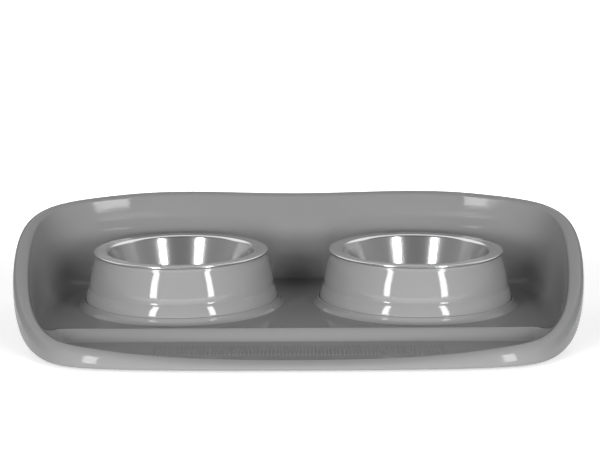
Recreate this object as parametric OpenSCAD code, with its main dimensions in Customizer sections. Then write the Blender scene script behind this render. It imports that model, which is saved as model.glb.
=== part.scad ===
/* [Tray] */
// Width of the tray beside each ring's collar, out to the skirt's edge
side_w = 67.3; // [65:0.1:74]
// Depth of the tray behind the collars, back to the skirt's edge
back_w = 35.2; // [34:0.1:40]
// Depth of the tray in front of the ridge's crest, out to the skirt's edge
front_w = 91.8; // [88:0.1:98]
// Height of the splash wall's highest points above the table
splash_h = 106; // [92:1:120]
// Height of the front lip at its lowest point, in the middle
lip_h = 9.8; // [9.2:0.1:12]
// Wall thickness of the moulding
wall_t = 2.8; // [2.4:0.1:3.2]
// Height of the floor's top face above the table
floor_h = 14.5; // [13.5:0.5:17]
// Height of the trough's floor above the table
trough_h = 7; // [6.6:0.1:7.6]
// How far the skirt's edge stays above the table
skirt_gap = 2.7; // [2.2:0.1:3.2]

/* [Rim] */
// Width of the rounded rim, from the splash wall to the skirt's edge
rim_w = 15; // [13:0.5:17]
// Width of the rim's inner rounding
rim_inner_w = 6; // [5:0.5:7]
// How far the rim's top stands over the end of the splash wall
rim_rise = 4.5; // [3.5:0.5:5.5]
// How far the skirt hangs below the rim's top at the back
skirt_drop = 8; // [7:0.5:10]

/* [Ridge and trough] */
// Distance from the collars' feet forward to the ridge's crest
ridge_gap = 16.2; // [14:0.1:20]
// Height of the ridge's crest over the floor
ridge_h = 2.5; // [1.5:0.1:3.5]
// Width of the ridge's back slope
ridge_back_w = 9; // [7:0.5:11]
// Width of the ridge's front face, down to the trough
ridge_front_w = 12; // [10:0.5:14]
// Spacing of the trough's ribs
rib_pitch = 3.4; // [3:0.1:5]
// Width of one rib
rib_w = 1.5; // [1:0.1:2]
// Height of one rib over the trough's floor
rib_h = 0.6; // [0.4:0.1:1]
// Length of the ribs, front to back
rib_len = 30; // [20:1:36]
// Width of the ribbed band, as a share of the tray's width
rib_band_share = 0.47; // [0.4:0.01:0.52]

/* [Rings] */
// Gap between the feet of the two collars, on the middle line
ring_gap = 29.8; // [26:0.2:36]
// How far the ring's shoulder stays inside the bowl's flange
flange_over = 1.8; // [1:0.1:2.6]
// How far the ring's wall widens from the shoulder down to the foot band
ring_taper = 7.1; // [6:0.1:8.5]
// How far the foot band widens down to the ring's foot
ring_flare = 3.9; // [3:0.1:5]
// Height of the ring's top land above the table
ring_top_h = 66.4; // [64:0.2:70]
// Height of the foot band over the floor
ring_band_h = 18; // [16:0.5:20]
// How far the ring's wall bulges between its ends
ring_bulge = 1.5; // [0.5:0.1:2.5]
// Wall thickness of the ring
ring_t = 2.6; // [2:0.1:3]
// Rounding of the ring's shoulder
shoulder_r = 4; // [3:0.5:5]

/* [Collars] */
// Height of the collar over the floor
collar_h = 6.3; // [5:0.1:8]
// Width of the collar at its foot
collar_foot_w = 5.8; // [4:0.1:6.5]
// Width of the collar's lip
collar_lip_w = 1.6; // [1.2:0.1:2]
// Clearance between the ring's foot and the collar, all round
foot_clear = 0.3; // [0.2:0.05:0.5]
// Depth of the round well in the floor under each bowl
well_depth = 4; // [3:0.5:5]
// How far the well's wall stays inside the collar
well_in = 15.5; // [12:0.5:24]

/* [Bowls] */
// Radius of the bowl's mouth, where the flange turns down
bowl_mouth_r = 75; // [66:0.5:88]
// Width of the bowl's flange, outside the mouth
bowl_flange_w = 11; // [10:0.1:13]
// Gap between the bowl's base and the floor of the well
bowl_floor_gap = 2.3; // [1.5:0.1:4]
// Sheet thickness of the bowl
bowl_t = 0.9; // [0.6:0.1:1.2]
// Rounding between the flange and the wall
bowl_mouth_fillet = 2.8; // [2:0.1:3.4]
// Rounding between the wall and the base
bowl_base_fillet = 11; // [8:0.5:14]
// Radius of the rolled edge
bowl_bead_r = 1.1; // [0.9:0.1:1.3]
// Lean of the bowl's wall from upright, in degrees
bowl_lean = 19.5; // [17:0.5:22]

/* [Feet] */
// Radius of a rubber foot
foot_r = 8; // [6:0.5:10]
// Rounding of the foot's lower edge
foot_round = 1; // [0.5:0.1:1.5]
// Wall of the socket that holds a foot
socket_t = 2; // [1.5:0.1:2.5]
// Depth of the socket
socket_depth = 1.6; // [1.2:0.1:2]
// Clearance round a foot in its socket
socket_clear = 0.25; // [0.15:0.05:0.4]
// Thickness of the webs under the floor
web_t = 1.8; // [1.4:0.1:2.4]
// Depth of the webs below the floor
web_depth = 4; // [3:0.5:5]

/* [Hidden] */
$fn = 128;

// How far cuts and buried ends run past the faces that they cross
overrun = 1;
// How far the wall's foot starts below the floor's top face, so that the two cross cleanly
foot_sink = 0.35;
// How far the wall's foot runs in under the floor, and how far the floor runs out over it
foot_in = 3;
floor_out = 5;
// How far past the floor's edge the ridge and the trough fade out on the wall
fade_w = 14;
// Points along the splash wall, each half of the rim and each curve of a turned outline
wall_steps = 8;
rim_steps = 4;
arc_steps = 10;
// Points between two neighbours of the rim's control outline
span_steps = 4;
// Number of the stretch where the ridge meets the wall, and the points along it
ridge_span = 4;
ridge_span_steps = 18;

// Control outline of the skirt's edge, right half from front to back, as shares of half the
// tray's width and half its depth, with the shares of the height that its rim's top and its
// skirt's edge have climbed there
rim_shares = [
    [0.000, -1.000, 0.000, 0.000],
    [0.265, -0.998, 0.008, 0.000],
    [0.496, -0.984, 0.046, 0.000],
    [0.702, -0.943, 0.112, 0.000],
    [0.805, -0.820, 0.124, 0.004],
    [0.894, -0.564, 0.215, 0.085],
    [0.945, -0.294, 0.345, 0.305],
    [0.977, -0.019, 0.522, 0.507],
    [0.992,  0.241, 0.725, 0.711],
    [0.982,  0.488, 0.880, 0.869],
    [0.908,  0.702, 0.953, 0.948],
    [0.755,  0.828, 0.985, 0.985],
    [0.575,  0.964, 1.004, 1.004],
    [0.348,  1.006, 0.999, 0.999],
    [0.000,  0.996, 0.962, 0.962]
];
// Control outline of the splash wall's foot, as shares of the same half width and half depth
foot_shares = [
    [0.000, -0.880],
    [0.268, -0.880],
    [0.482, -0.868],
    [0.616, -0.832],
    [0.728, -0.665],
    [0.778, -0.388],
    [0.805, -0.165],
    [0.821,  0.047],
    [0.830,  0.250],
    [0.819,  0.447],
    [0.765,  0.618],
    [0.659,  0.747],
    [0.513,  0.832],
    [0.305,  0.841],
    [0.000,  0.826]
];
// Places of the front and the rear feet, as shares of the same half width and half depth
foot_place_shares = [[0.60, -0.69], [0.71, 0.57]];
// Reach of the wall's lower and upper curve handles, as shares of its run and its rise
low_handle_share = 0.80;
high_handle_share = 0.62;
// Lean of the wall where it meets the rim, as a share of its run over its rise
lean_share = 0.55;
// Most of the lip's height that the rim's inner rounding may take up
rise_limit_share = 0.6;

// Radii of flange, shoulder, wall, foot, collar and well, which grow from the bowl's mouth
bowl_r = bowl_mouth_r + bowl_flange_w;
ring_top_r = bowl_r - flange_over;
ring_wall_r = ring_top_r + ring_taper;
ring_foot_r = ring_wall_r + ring_flare;
collar_r = ring_foot_r + foot_clear;
well_r = collar_r - well_in;
// Depth of the bowl, which reaches down into the well
bowl_depth = ring_top_h + bowl_t - floor_h + well_depth - bowl_floor_gap;
// Places of the rings and the ridge in the tray, and the tray's width and depth round them
ring_x = collar_r + collar_foot_w + ring_gap / 2;
ridge_reach = collar_r + collar_foot_w + ridge_gap;
tray_w = 2 * (ring_x + collar_r + side_w);
tray_d = back_w + collar_r + ridge_reach + front_w;
ring_y = tray_d / 2 - back_w - collar_r;
ridge_y = ring_y - ridge_reach;

// Mirrors a half outline to a closed one: the first and last rows lie on the middle line
function flip(row) = [for (i = [0:len(row) - 1]) i == 0 ? -row[i] : row[i]];
function whole(rows) = concat(rows, [for (i = [len(rows) - 2:-1:1]) flip(rows[i])]);

// Point and direction of a closed uniform cubic B-spline over the rows c, at span i, share t
function spline(c, i, t) =
    let (n = len(c),
         a = c[(i + n - 1) % n],
         b = c[i % n],
         d = c[(i + 1) % n],
         e = c[(i + 2) % n])
    (a * pow(1 - t, 3) + b * (3 * pow(t, 3) - 6 * pow(t, 2) + 4)
        + d * (1 + 3 * t + 3 * pow(t, 2) - 3 * pow(t, 3)) + e * pow(t, 3)) / 6;
function slope(c, i, t) =
    let (n = len(c),
         a = c[(i + n - 1) % n],
         b = c[i % n],
         d = c[(i + 1) % n],
         e = c[(i + 2) % n])
    (-a * pow(1 - t, 2) + b * (3 * pow(t, 2) - 4 * t) + d * (1 + 2 * t - 3 * pow(t, 2))
        + e * pow(t, 2)) / 2;
function unit(v) = v / norm(v);
function mix(a, b, t) = a + (b - a) * t;
function ease(t) = (1 - cos(180 * min(1, max(0, t)))) / 2;
function bezier(a, b, c, d, t) =
    a * pow(1 - t, 3) + b * 3 * t * pow(1 - t, 2) + c * 3 * pow(t, 2) * (1 - t) + d * pow(t, 3);

spans = len(whole(rim_shares));
function steps_in(i) = i == ridge_span || i == spans - 1 - ridge_span ? ridge_span_steps : span_steps;
stations = [for (i = [0:spans - 1]) for (k = [0:steps_in(i) - 1]) [i, k / steps_in(i)]];
rim_raw = [for (s = stations) spline(whole(rim_shares), s[0], s[1])];
x_reach = max([for (p = rim_raw) p[0]]);
y_front = min([for (p = rim_raw) p[1]]);
y_back = max([for (p = rim_raw) p[1]]);
climb_low = min([for (p = rim_raw) p[2]]);
climb_high = max([for (p = rim_raw) p[2]]);
skirt_low = min([for (p = rim_raw) p[3]]);
skirt_high = max([for (p = rim_raw) p[3]]);

// The skirt's edge in the tray's plan, scaled so that it just spans the tray's width and depth
function plan_y(share) = tray_d * ((share - y_front) / (y_back - y_front) - 1 / 2);
rim_edge = [for (p = rim_raw) [p[0] / x_reach * tray_w / 2, plan_y(p[1])]];
rim_out = [for (s = stations)
    let (d = slope(whole(rim_shares), s[0], s[1]))
    unit([d[1] * tray_d, -d[0] * tray_w])];
rim_top = [for (p = rim_raw) mix(lip_h, splash_h, (p[2] - climb_low) / (climb_high - climb_low))];
skirt_edge = [for (p = rim_raw)
    mix(skirt_gap, splash_h - skirt_drop, (p[3] - skirt_low) / (skirt_high - skirt_low))];

// Height of the floor's top face, which swells to the ridge and drops to the trough
function ground_h(y) =
    y >= ridge_y ? floor_h + ridge_h * ease((ridge_y + ridge_back_w - y) / ridge_back_w)
        : mix(floor_h + ridge_h, trough_h, ease((ridge_y - y) / ridge_front_w));
foot_edge = [for (s = stations)
    let (p = spline(whole(foot_shares), s[0], s[1]))
    [p[0] * tray_w / 2, p[1] * tray_d / 2]];
foot_z = [for (p = foot_edge) ground_h(p[1]) - foot_sink];
rise = [for (k = [0:len(stations) - 1])
    min(rim_rise, (rim_top[k] - foot_z[k]) * rise_limit_share)];
wall_end = [for (k = [0:len(stations) - 1]) rim_edge[k] - rim_out[k] * rim_w];
wall_dir = [for (k = [0:len(stations) - 1]) unit(wall_end[k] - foot_edge[k])];

// Difference in height between the floor beside the wall's foot and the foot itself
function swell(k, reach) =
    let (fade = max(0, 1 - max(0, reach - floor_out) / fade_w))
    ground_h(foot_edge[k][1] + wall_dir[k][1] * reach * pow(fade, 2)) - ground_h(foot_edge[k][1]);

// Section of the tray at one station: pairs of distance out from the wall's foot and height
wall_marks = concat([0, 1 / 2], [for (i = [1:wall_steps]) i]) / wall_steps;
function wall_curve(k) =
    let (run = norm(wall_end[k] - foot_edge[k]),
         z0 = foot_z[k],
         z1 = rim_top[k] - rise[k],
         lean = unit([run * lean_share, z1 - z0]))
    [for (t = wall_marks)
        let (p = bezier([0, z0], [run * low_handle_share, z0],
                        [run, z1] - lean * (z1 - z0) * high_handle_share, [run, z1], t))
        p + [0, t < 1 ? swell(k, p[0]) : 0]];
function rim_curve(k) =
    let (z = rim_top[k] - rise[k],
         outer_w = rim_w - rim_inner_w,
         drop = rim_top[k] - skirt_edge[k])
    concat(
        [for (i = [1:rim_steps])
            let (a = 90 * i / rim_steps)
            [rim_inner_w * (1 - cos(a)), z + rise[k] * sin(a)]],
        [for (i = [1:rim_steps])
            let (a = 90 * i / rim_steps)
            [rim_inner_w + outer_w * sin(a), skirt_edge[k] + drop * cos(a)]]);

// Normal of a section's polyline at point i, towards the moulding's under side
function under(c, i) =
    let (d = unit(c[min(i + 1, len(c) - 1)] - c[max(i - 1, 0)]))
    [d[1], -d[0]];
// The same on the rim, whose edge ends level all round
function under_rim(c, i) = i == len(c) - 1 ? [-1, 0] : under(c, i);
function place(k, p) = let (q = foot_edge[k] + wall_dir[k] * p[0]) [q[0], q[1], p[1]];
function place_rim(k, p) = let (q = wall_end[k] + rim_out[k] * p[0]) [q[0], q[1], p[1]];

// Closed loop of one station: over the top face outwards, then back along the under side
function loop(k) =
    let (wall = concat([[-foot_in, foot_z[k] + swell(k, -foot_in)]], wall_curve(k)),
         rim = rim_curve(k),
         last = len(rim) - 1)
    concat(
        [for (p = wall) place(k, p)],
        [for (p = rim) place_rim(k, p)],
        [for (i = [last:-1:0]) place_rim(k, rim[i] + under_rim(rim, i) * wall_t)],
        [for (i = [len(wall) - 1:-1:0]) place(k, wall[i] + under(wall, i) * wall_t)]);

// Skin of a ring of loops that all have the same number of points
module loop_skin(loops) {
    n = len(loops);
    m = len(loops[0]);
    polyhedron(
        points = [for (l = loops) for (p = l) p],
        faces = [for (i = [0:n - 1]) for (j = [0:m - 1])
            let (a = i * m + j,
                 b = i * m + (j + 1) % m,
                 c = ((i + 1) % n) * m + (j + 1) % m,
                 d = ((i + 1) % n) * m + j)
            each [[a, c, b], [a, d, c]]]);
}

module splash_wall() {
    loop_skin([for (k = [0:len(stations) - 1]) loop(k)]);
}

// Area of the floor, which runs out over the wall's foot
module floor_area(out) {
    polygon([for (k = [0:len(stations) - 1]) foot_edge[k] + wall_dir[k] * out]);
}

// Section of the floor along the middle line: floor, ridge and trough, as points y, z
floor_line = [for (y = concat(
    [tray_d / 2],
    [for (i = [0:arc_steps]) ridge_y + ridge_back_w * (1 - i / arc_steps)],
    [for (i = [1:arc_steps]) ridge_y - ridge_front_w * i / arc_steps],
    [-tray_d / 2])) [y, ground_h(y)]];

module floor_plate() {
    intersection() {
        linear_extrude(splash_h) floor_area(floor_out);
        rotate([90, 0, 90])
            linear_extrude(tray_w, center = true)
                polygon(concat(
                    floor_line,
                    [for (i = [len(floor_line) - 1:-1:0])
                        floor_line[i] + under(floor_line, i) * -wall_t]));
    }
}

// Fine ribs that run front to back on the trough's floor
module trough_ribs() {
    count = floor(rib_band_share * tray_w / rib_pitch);
    start = -(count - 1) * rib_pitch / 2;
    mid_y = (ridge_y - ridge_front_w + foot_shares[0][1] * tray_d / 2) / 2;
    translate([0, mid_y + rib_len / 2, trough_h])
        rotate([90, 0, 0])
            linear_extrude(rib_len)
                polygon(concat(
                    [[start - rib_w, -wall_t / 2]],
                    [for (i = [0:count - 1])
                        let (x = start + i * rib_pitch)
                        each [[x - rib_w / 2, -rib_h], [x - rib_w / 4, rib_h],
                              [x + rib_w / 4, rib_h], [x + rib_w / 2, -rib_h]]],
                    [[-start + rib_w, -wall_t / 2]]));
}

// Raised collar that holds the foot of a ring
module collar() {
    sunk = wall_t / 2;
    rotate_extrude()
        polygon(concat(
            [[collar_r, floor_h - sunk]],
            [[collar_r, floor_h + collar_h - collar_lip_w / 2]],
            [for (i = [1:arc_steps - 1])
                let (a = 180 - 180 * i / arc_steps)
                [collar_r + collar_lip_w / 2 * (1 + cos(a)),
                 floor_h + collar_h - collar_lip_w / 2 * (1 - sin(a))]],
            [for (i = [0:arc_steps])
                let (t = i / arc_steps)
                [collar_r + mix(collar_lip_w, collar_foot_w, pow(t, 3)),
                 mix(floor_h + collar_h - collar_lip_w / 2, floor_h, t)]],
            [[collar_r + collar_foot_w, floor_h - sunk]]));
}

// Round well that gives the bowl's base room: its wall and floor, and the space inside them
module well() {
    translate([0, 0, floor_h - well_depth - wall_t])
        cylinder(r = well_r + wall_t, h = well_depth + wall_t);
}
module well_space() {
    translate([0, 0, floor_h - well_depth]) cylinder(r = well_r, h = well_depth + overrun);
}

// Socket under the tray that holds a rubber foot against the moulding
foot_h = trough_h - wall_t;
module socket(roof_h) {
    inner_r = foot_r + socket_clear;
    difference() {
        translate([0, 0, foot_h - socket_depth])
            cylinder(r = inner_r + socket_t, h = roof_h - wall_t / 2 - foot_h + socket_depth);
        translate([0, 0, foot_h - socket_depth - overrun])
            cylinder(r = inner_r, h = socket_depth + overrun);
    }
}

// Stiffening webs under the raised part of the floor
web_x_shares = [-0.78, -0.4, 0, 0.4, 0.78];
web_y_shares = [-0.86, 0.9];
module webs() {
    web_z = floor_h - wall_t - web_depth;
    half_x = ring_x + collar_r;
    web_front = ridge_y + ridge_back_w;
    intersection() {
        translate([0, 0, web_z]) linear_extrude(web_depth + wall_t / 2) floor_area(0);
        translate([-tray_w / 2, web_front, web_z]) cube([tray_w, tray_d, web_depth + wall_t]);
        union() {
            for (s = web_x_shares)
                translate([s * half_x - web_t / 2, -tray_d / 2, web_z])
                    cube([web_t, tray_d, web_depth + wall_t]);
            for (s = web_y_shares)
                translate([-tray_w / 2, ring_y + s * collar_r - web_t / 2, web_z])
                    cube([tray_w, web_t, web_depth + wall_t]);
        }
    }
}

// Foot places: x, y and the height of the moulding's top face there
foot_places = [for (p = foot_place_shares) for (side = [-1, 1])
    [side * p[0] * tray_w / 2, p[1] * tray_d / 2, ground_h(p[1] * tray_d / 2)]];

// The one-piece moulding: splash wall, floor, ridge, trough, collars and the under side's parts
module tray() {
    color([0.53, 0.53, 0.53])
        difference() {
            union() {
                splash_wall();
                floor_plate();
                trough_ribs();
                webs();
                for (side = [-1, 1])
                    translate([side * ring_x, ring_y, 0]) {
                        collar();
                        well();
                    }
                for (p = foot_places) translate([p[0], p[1], 0]) socket(p[2]);
            }
            for (side = [-1, 1]) translate([side * ring_x, ring_y, 0]) well_space();
        }
}

// Height and radius of the ring's land, on which the bowl's flange lies
land_r = bowl_mouth_r + 2 * bowl_t;
// Outside of the ring from its foot up to its land, as points r, z
band_top = floor_h + ring_band_h;
band_foot = floor_h + collar_h;
band_flare_share = 0.75;
ring_side = concat(
    [[ring_foot_r, floor_h], [ring_foot_r, band_foot]],
    [for (i = [1:arc_steps])
        let (t = i / arc_steps)
        [mix(ring_foot_r, ring_wall_r, pow(t, 2) * band_flare_share + t * (1 - band_flare_share)),
         mix(band_foot, band_top, t)]],
    [for (i = [1:arc_steps])
        let (t = i / arc_steps)
        [mix(ring_wall_r, ring_top_r, t) + ring_bulge * 4 * t * (1 - t),
         mix(band_top, ring_top_h - shoulder_r, t)]],
    [for (i = [1:arc_steps])
        let (a = 90 * i / arc_steps)
        [ring_top_r - shoulder_r * (1 - cos(a)), ring_top_h - shoulder_r * (1 - sin(a))]],
    [[land_r, ring_top_h]]);
// Inside of the ring's wall, from the land's under side down to the foot
ring_inside = [for (i = [len(ring_side) - 2:-1:1]) ring_side[i] + under(ring_side, i) * -ring_t];

// Open, bulged ring that stands in the collar and carries the bowl by its flange
module holder_ring(side) {
    color([0.55, 0.55, 0.55])
        translate([side * ring_x, ring_y, 0])
            rotate_extrude()
                polygon(concat(
                    ring_side,
                    [[land_r, ring_top_h - ring_t]],
                    ring_inside,
                    [[ring_foot_r - ring_t, floor_h]]));
}
module left_holder_ring() {
    holder_ring(-1);
}
module right_holder_ring() {
    holder_ring(1);
}

// Inner face of the bowl from its middle up to the flange, as points r, z below the flange
mouth_in = bowl_mouth_fillet + bowl_t;
bowl_floor = -bowl_depth + bowl_t;
bowl_wall_h = -bowl_floor - (mouth_in + bowl_base_fillet) * (1 - sin(bowl_lean));
bowl_base_r = bowl_mouth_r - (mouth_in + bowl_base_fillet) * cos(bowl_lean)
    - bowl_wall_h * tan(bowl_lean);
bowl_face = concat(
    [[0, bowl_floor]],
    [for (i = [0:arc_steps])
        let (a = (90 - bowl_lean) * i / arc_steps)
        [bowl_base_r + bowl_base_fillet * sin(a), bowl_floor + bowl_base_fillet * (1 - cos(a))]],
    [for (i = [0:arc_steps])
        let (a = (90 - bowl_lean) * (1 - i / arc_steps))
        [bowl_mouth_r - mouth_in * sin(a), -mouth_in * (1 - cos(a))]],
    [[bowl_r - bowl_bead_r, 0]]);
// Rolled edge, from the flange's top face round to its under side
bead_turn = 180 + asin((bowl_bead_r - bowl_t) / bowl_bead_r);
bowl_bead = [for (i = [1:arc_steps])
    let (a = 90 - (90 + bead_turn) * i / arc_steps)
    [bowl_r - bowl_bead_r + bowl_bead_r * cos(a), -bowl_bead_r + bowl_bead_r * sin(a)]];

// Round bowl of steel sheet with a flat flange, a leaning wall and a rolled edge
module bowl(side) {
    last = len(bowl_face) - 2;
    color([0.78, 0.78, 0.79])
        translate([side * ring_x, ring_y, ring_top_h + bowl_t])
            rotate_extrude()
                polygon(concat(
                    bowl_face,
                    bowl_bead,
                    [for (i = [last:-1:1]) bowl_face[i] + under(bowl_face, i) * bowl_t],
                    [[0, bowl_floor - bowl_t]]));
}
module left_bowl() {
    bowl(-1);
}
module right_bowl() {
    bowl(1);
}

// Rubber foot, pressed into its socket
module rubber_foot(place_number) {
    p = foot_places[place_number];
    color([0.12, 0.12, 0.12])
        translate([p[0], p[1], 0])
            rotate_extrude()
                polygon(concat(
                    [[0, 0]],
                    [for (i = [0:arc_steps])
                        let (a = 90 * i / arc_steps)
                        [foot_r - foot_round * (1 - sin(a)), foot_round * (1 - cos(a))]],
                    [[foot_r, foot_h], [0, foot_h]]));
}
module front_left_foot() {
    rubber_foot(0);
}
module front_right_foot() {
    rubber_foot(1);
}
module rear_left_foot() {
    rubber_foot(2);
}
module rear_right_foot() {
    rubber_foot(3);
}

tray();
left_holder_ring();
right_holder_ring();
left_bowl();
right_bowl();
front_left_foot();
front_right_foot();
rear_left_foot();
rear_right_foot();
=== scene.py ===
"""Double pet bowl: a glossy moulded feeding tray, two holder rings, two steel bowls and four feet."""

import logging
import math
from dataclasses import dataclass, field
from enum import Enum
from typing import Sequence

import bmesh
import bpy
from mathutils import Euler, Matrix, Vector


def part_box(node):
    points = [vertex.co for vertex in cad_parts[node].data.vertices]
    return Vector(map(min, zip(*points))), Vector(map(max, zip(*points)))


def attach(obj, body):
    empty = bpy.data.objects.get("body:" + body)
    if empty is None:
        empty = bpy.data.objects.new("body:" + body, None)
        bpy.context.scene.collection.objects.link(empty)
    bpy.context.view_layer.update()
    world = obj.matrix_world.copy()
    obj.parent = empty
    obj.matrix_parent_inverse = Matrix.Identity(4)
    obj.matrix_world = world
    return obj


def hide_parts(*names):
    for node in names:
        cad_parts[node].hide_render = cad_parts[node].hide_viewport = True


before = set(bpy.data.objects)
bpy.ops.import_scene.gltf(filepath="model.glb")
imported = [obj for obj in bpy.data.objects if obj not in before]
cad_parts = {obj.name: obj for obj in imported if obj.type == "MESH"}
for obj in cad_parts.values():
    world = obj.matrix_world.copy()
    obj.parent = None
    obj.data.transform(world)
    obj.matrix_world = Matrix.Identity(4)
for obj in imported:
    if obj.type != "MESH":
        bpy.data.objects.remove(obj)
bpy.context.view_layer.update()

LOG = logging.getLogger("pet_bowl")
FOOT_NODES = ("front_left_foot", "front_right_foot", "rear_left_foot", "rear_right_foot")
MM = 0.001
# Radius or length in metres under which a point counts as lying on the axis or on its neighbour
TINY = 1e-7
# Rounds of halving in which a place on an outline is found
HALVINGS = 40
# Steps round the axis of a ring and of its collar
RING_SEGMENTS = 220
WHITE = (1.0, 1.0, 1.0, 1.0)
BLACK = (0.0, 0.0, 0.0, 1.0)
Socket = bpy.types.NodeSocket
Point2 = tuple[float, float]
Point3 = tuple[float, float, float]


class Body(Enum):
    """Bodies that the pieces ride on."""

    STAND = "stand"
    LEFT_BOWL = "left_bowl_body"
    RIGHT_BOWL = "right_bowl_body"


class Slot(Enum):
    """Material slots of the part."""

    TRAY = "grey_plastic"
    RING = "ring_plastic"
    BOWL = "bowl_steel"
    FOOT = "foot_rubber"


class Side(Enum):
    """Left and right halves, as the sign of X."""

    LEFT = -1
    RIGHT = 1


# Curves and meshes


def mix(a: float, b: float, share: float) -> float:
    """Value that lies the given share of the way from a to b."""
    return a + (b - a) * share


def ease(share: float) -> float:
    """Smooth step from 0 to 1, held flat outside them."""
    return (1 - math.cos(math.pi * min(1.0, max(0.0, share)))) / 2


def spline(rows: Sequence[Sequence[float]], place: float) -> list[float]:
    """Point of a closed uniform cubic B-spline.

    Args:
        rows: Control rows, all round the closed curve.
        place: Span number plus the share of that span.

    Returns:
        The blended row.
    """
    count = len(rows)
    span = math.floor(place)
    t = place - span
    weights = (
        (1 - t) ** 3 / 6,
        (3 * t**3 - 6 * t**2 + 4) / 6,
        (1 + 3 * t + 3 * t**2 - 3 * t**3) / 6,
        t**3 / 6,
    )
    picked = [rows[(span + k - 1) % count] for k in range(4)]
    return [sum(w * row[c] for w, row in zip(weights, picked)) for c in range(len(rows[0]))]


def bezier(ends: Sequence[Point2], share: float) -> Point2:
    """Point of a cubic curve through four handles.

    Args:
        ends: The four handles.
        share: Place along the curve, from 0 to 1.

    Returns:
        The point.
    """
    weights = ((1 - share) ** 3, 3 * share * (1 - share) ** 2, 3 * share**2 * (1 - share), share**3)
    return (
        sum(w * p[0] for w, p in zip(weights, ends)),
        sum(w * p[1] for w, p in zip(weights, ends)),
    )


def under_side(curve: Sequence[Point2], depth: float) -> list[Point2]:
    """Copy of an open curve, set off to its right-hand side by the given depth.

    Args:
        curve: The open curve.
        depth: Distance of the copy. Below zero it lies on the left-hand side.

    Returns:
        The copy's points.
    """
    out = []
    for i, point in enumerate(curve):
        ahead = curve[min(i + 1, len(curve) - 1)]
        behind = curve[max(i - 1, 0)]
        run, rise = ahead[0] - behind[0], ahead[1] - behind[1]
        length = math.hypot(run, rise)
        out.append((point[0] + rise / length * depth, point[1] - run / length * depth))
    return out


def rounded(corners: Sequence[Point3], steps: int = 6, most_share: float = 0.49) -> list[Point2]:
    """Closed outline whose corners are rounded off.

    Args:
        corners: Rows of x, y and corner radius, in order round the outline.
        steps: Straight pieces in each rounding.
        most_share: Most of a side that one rounding takes up.

    Returns:
        The outline's points.
    """
    out: list[Point2] = []
    count = len(corners)
    for i, (x, y, radius) in enumerate(corners):
        here = Vector((x, y))
        before = Vector(corners[i - 1][:2]) - here
        after = Vector(corners[(i + 1) % count][:2]) - here
        if radius <= 0 or before.length < TINY or after.length < TINY:
            out.append((x, y))
            continue
        half = before.angle(after) / 2
        reach = min(radius / math.tan(half), before.length * most_share, after.length * most_share)
        start, end = here + before.normalized() * reach, here + after.normalized() * reach
        for k in range(steps + 1):
            t = k / steps
            p = start * (1 - t) ** 2 + here * (2 * t * (1 - t)) + end * t**2
            out.append((p.x, p.y))
    return out


def new_piece(name: str, mesh: bmesh.types.BMesh, sharp_deg: float = 38.0) -> bpy.types.Object:
    """Turns a bmesh into a smooth-shaded object, with sharp edges past the given angle.

    Args:
        name: Name of the object and of its mesh.
        mesh: The bmesh, which is freed.
        sharp_deg: Angle past which an edge is sharp.

    Returns:
        The object.
    """
    bmesh.ops.recalc_face_normals(mesh, faces=mesh.faces)
    limit = math.radians(sharp_deg)
    for face in mesh.faces:
        face.smooth = True
    for edge in mesh.edges:
        edge.smooth = len(edge.link_faces) != 2 or edge.calc_face_angle(0.0) < limit
    data = bpy.data.meshes.new(name)
    mesh.to_mesh(data)
    mesh.free()
    piece = bpy.data.objects.new(name, data)
    bpy.context.scene.collection.objects.link(piece)
    return piece


def turned(outline: Sequence[Point2], centre: Point3, segments: int = 160) -> bmesh.types.BMesh:
    """Closed solid of revolution about a vertical axis.

    Args:
        outline: Closed outline of radius and height. A radius of zero lies on the axis.
        centre: Place of the axis, and the height that the outline counts from.
        segments: Steps round the axis.

    Returns:
        The new mesh.
    """
    mesh = bmesh.new()
    x, y, base = centre
    angles = [2 * math.pi * k / segments for k in range(segments)]
    rows = []
    for radius, height in outline:
        z = base + height
        if radius < TINY:
            rows.append([mesh.verts.new((x, y, z))] * segments)
        else:
            around = [(x + radius * math.cos(a), y + radius * math.sin(a), z) for a in angles]
            rows.append([mesh.verts.new(point) for point in around])
    for i, row in enumerate(rows):
        after = rows[(i + 1) % len(rows)]
        for k in range(segments):
            n = (k + 1) % segments
            ring = list(dict.fromkeys((row[k], row[n], after[n], after[k])))
            if len(ring) > 2:
                mesh.faces.new(ring)
    return mesh


def add_box(mesh: bmesh.types.BMesh, low: Point3, high: Point3, bevel: float) -> None:
    """Adds a bevelled box between two corners to a mesh.

    Args:
        mesh: The mesh that is added to.
        low: Corner with the least X, Y and Z.
        high: The opposite corner.
        bevel: Width of the bevels.
    """
    made = bmesh.ops.create_cube(mesh, size=1.0)["verts"]
    for vert in made:
        vert.co = Vector(mix(low[c], high[c], vert.co[c] + 0.5) for c in range(3))
    edges = {edge for vert in made for edge in vert.link_edges}
    bmesh.ops.bevel(mesh, geom=list(edges), offset=bevel, segments=2, affect="EDGES", profile=0.5)


def seat(piece: bpy.types.Object, body: Body, slot: Slot, material: bpy.types.Material, *nodes: str) -> None:
    """Dresses a piece, ties it to its body and hides the CAD nodes that it replaces.

    Args:
        piece: The finished piece.
        body: The body that it moves with.
        slot: The part's material slot. It is not used.
        material: The finish.
        *nodes: CAD nodes that it replaces.
    """
    piece.data.materials.clear()
    piece.data.materials.append(material)
    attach(piece, body.value)
    if nodes:
        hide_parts(*nodes)
    LOG.info("%s: %d faces, rides on %s", piece.name, len(piece.data.polygons), body.value)


# Shared effects


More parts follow.
